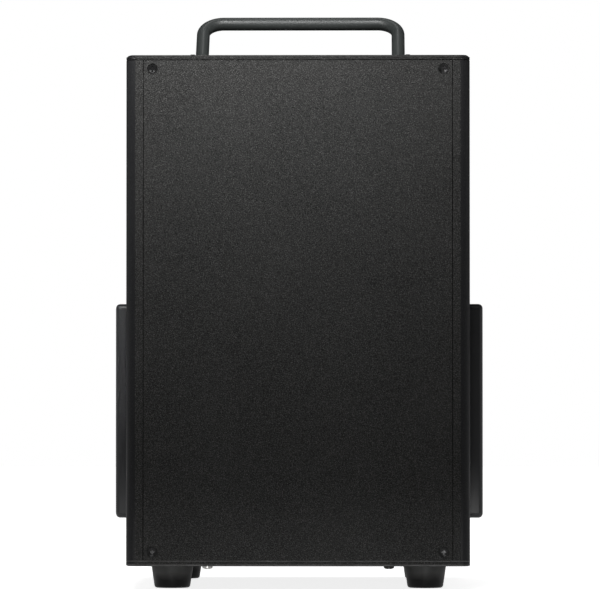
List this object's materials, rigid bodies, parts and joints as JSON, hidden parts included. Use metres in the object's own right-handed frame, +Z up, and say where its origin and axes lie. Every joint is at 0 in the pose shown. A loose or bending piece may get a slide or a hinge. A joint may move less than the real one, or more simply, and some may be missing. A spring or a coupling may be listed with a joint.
{
  "type": "cold spark machine",
  "caption": "Stage cold spark fountain in a textured steel box with a folding rod handle, side fan cowls, granule hopper, auger feed, blower and rubber feet.",
  "frame": {"origin": "on the floor under the middle of the machine's overall box", "axes": "+Z up, -Y towards the plain front face in the picture, +Y towards the control face, +X to the right as the plain face is seen"},
  "size_m": [0.1974, 0.2192, 0.312],
  "materials": {
    "powder_coat": "fine orange-peel powder coat",
    "satin_black": "satin",
    "handle_paint": "satin",
    "black_plastic": "matte",
    "black_rubber": "matte",
    "bright_steel": "fine brushed",
    "black_steel": "black oxide",
    "zinc_sheet": "galvanised",
    "copper": "enamelled copper wire",
    "ceramic": "unglazed ceramic",
    "circuit_green": "solder mask",
    "dark_window": "smoked, glossy"
  },
  "bodies": {
    "casing": {"front_panel": "powder_coat", "rear_panel": "powder_coat", "left_side_panel": "powder_coat", "right_side_panel": "powder_coat", "top_panel": "powder_coat", "bottom_plate": "powder_coat", "left_fan_cowl": "satin_black", "right_fan_cowl": "satin_black", "dmx_in": "satin_black", "dmx_out": "satin_black", "left_fan_frame": "black_plastic", "right_fan_frame": "black_plastic", "blower_housing": "black_plastic", "blower_cover": "black_plastic", "power_inlet": "black_plastic", "power_outlet": "black_plastic", "power_switch_bezel": "black_plastic", "foot_front_left": "black_rubber", "foot_front_right": "black_rubber", "foot_rear_left": "black_rubber", "foot_rear_right": "black_rubber", "underside_screw_left": "bright_steel", "underside_screw_right": "bright_steel", "spark_nozzle": "bright_steel", "spark_tube": "bright_steel", "lid_hinge_pin": "bright_steel", "auger_barrel": "bright_steel", "front_screw_top_left": "black_steel", "front_screw_top_right": "black_steel", "front_screw_bottom_left": "black_steel", "front_screw_bottom_right": "black_steel", "handle_bracket_left": "black_steel", "handle_bracket_right": "black_steel", "front_left_post": "zinc_sheet", "front_right_post": "zinc_sheet", "rear_left_post": "zinc_sheet", "rear_right_post": "zinc_sheet", "deck": "zinc_sheet", "power_supply": "zinc_sheet", "hopper": "zinc_sheet", "feed_gearmotor": "zinc_sheet", "heat_sink": "zinc_sheet", "induction_coil": "copper", "coil_sleeve": "ceramic", "driver_board": "circuit_green", "control_board": "circuit_green", "display_window": "dark_window"},
    "handle": {"handle": "handle_paint"},
    "hopper_lid": {"hopper_lid": "satin_black"},
    "feed_auger": {"feed_auger": "bright_steel"},
    "blower_impeller": {"blower_impeller": "black_plastic"},
    "left_fan_rotor": {"left_fan_rotor": "black_plastic"},
    "right_fan_rotor": {"right_fan_rotor": "black_plastic"},
    "menu_button_1": {"menu_button_1": "black_plastic"},
    "menu_button_2": {"menu_button_2": "black_plastic"},
    "menu_button_3": {"menu_button_3": "black_plastic"},
    "menu_button_4": {"menu_button_4": "black_plastic"},
    "power_switch_rocker": {"power_switch_rocker": "black_plastic"},
    "fuse_drawer": {"fuse_drawer": "black_plastic"},
    "dmx_release_tab": {"dmx_release_tab": "bright_steel"}
  },
  "joints": [
    {"name": "handle_fold", "type": "hinge", "parent": "casing", "child": "handle", "pos_m": [0, -0.01765, 0.2865], "axis": [1, 0, 0], "range_deg": [-38, 52]},
    {"name": "lid_hinge", "type": "hinge", "parent": "casing", "child": "hopper_lid", "pos_m": [0, 0.09185, 0.2871], "axis": [-1, 0, 0], "range_deg": [0, 110]},
    {"name": "auger_spin", "type": "hinge", "parent": "casing", "child": "feed_auger", "pos_m": [0, -0.03415, 0.169], "axis": [0, 1, 0], "continuous": true},
    {"name": "blower_spin", "type": "hinge", "parent": "casing", "child": "blower_impeller", "pos_m": [0, -0.02365, 0.0992], "axis": [1, 0, 0], "continuous": true},
    {"name": "left_fan_spin", "type": "hinge", "parent": "casing", "child": "left_fan_rotor", "pos_m": [-0.089, -0.00215, 0.0943], "axis": [1, 0, 0], "continuous": true},
    {"name": "right_fan_spin", "type": "hinge", "parent": "casing", "child": "right_fan_rotor", "pos_m": [0.089, -0.00215, 0.0943], "axis": [1, 0, 0], "continuous": true},
    {"name": "rocker_tip", "type": "hinge", "parent": "casing", "child": "power_switch_rocker", "pos_m": [-0.053, 0.10135, 0.0483], "axis": [1, 0, 0], "range_deg": [0, 20]},
    {"name": "menu_press_1", "type": "slide", "parent": "casing", "child": "menu_button_1", "axis": [0, -1, 0], "range_m": [0, 0.0008], "stiffness_N_per_m": 900, "springref_m": -0.0005},
    {"name": "menu_press_2", "type": "slide", "parent": "casing", "child": "menu_button_2", "axis": [0, -1, 0], "range_m": [0, 0.0008], "stiffness_N_per_m": 900, "springref_m": -0.0005},
    {"name": "menu_press_3", "type": "slide", "parent": "casing", "child": "menu_button_3", "axis": [0, -1, 0], "range_m": [0, 0.0008], "stiffness_N_per_m": 900, "springref_m": -0.0005},
    {"name": "menu_press_4", "type": "slide", "parent": "casing", "child": "menu_button_4", "axis": [0, -1, 0], "range_m": [0, 0.0008], "stiffness_N_per_m": 900, "springref_m": -0.0005},
    {"name": "fuse_slide", "type": "slide", "parent": "casing", "child": "fuse_drawer", "axis": [0, 1, 0], "range_m": [0, 0.017]},
    {"name": "tab_press", "type": "slide", "parent": "casing", "child": "dmx_release_tab", "axis": [0, -1, 0], "range_m": [0, 0.001], "stiffness_N_per_m": 1200, "springref_m": -0.0005}
  ]
}
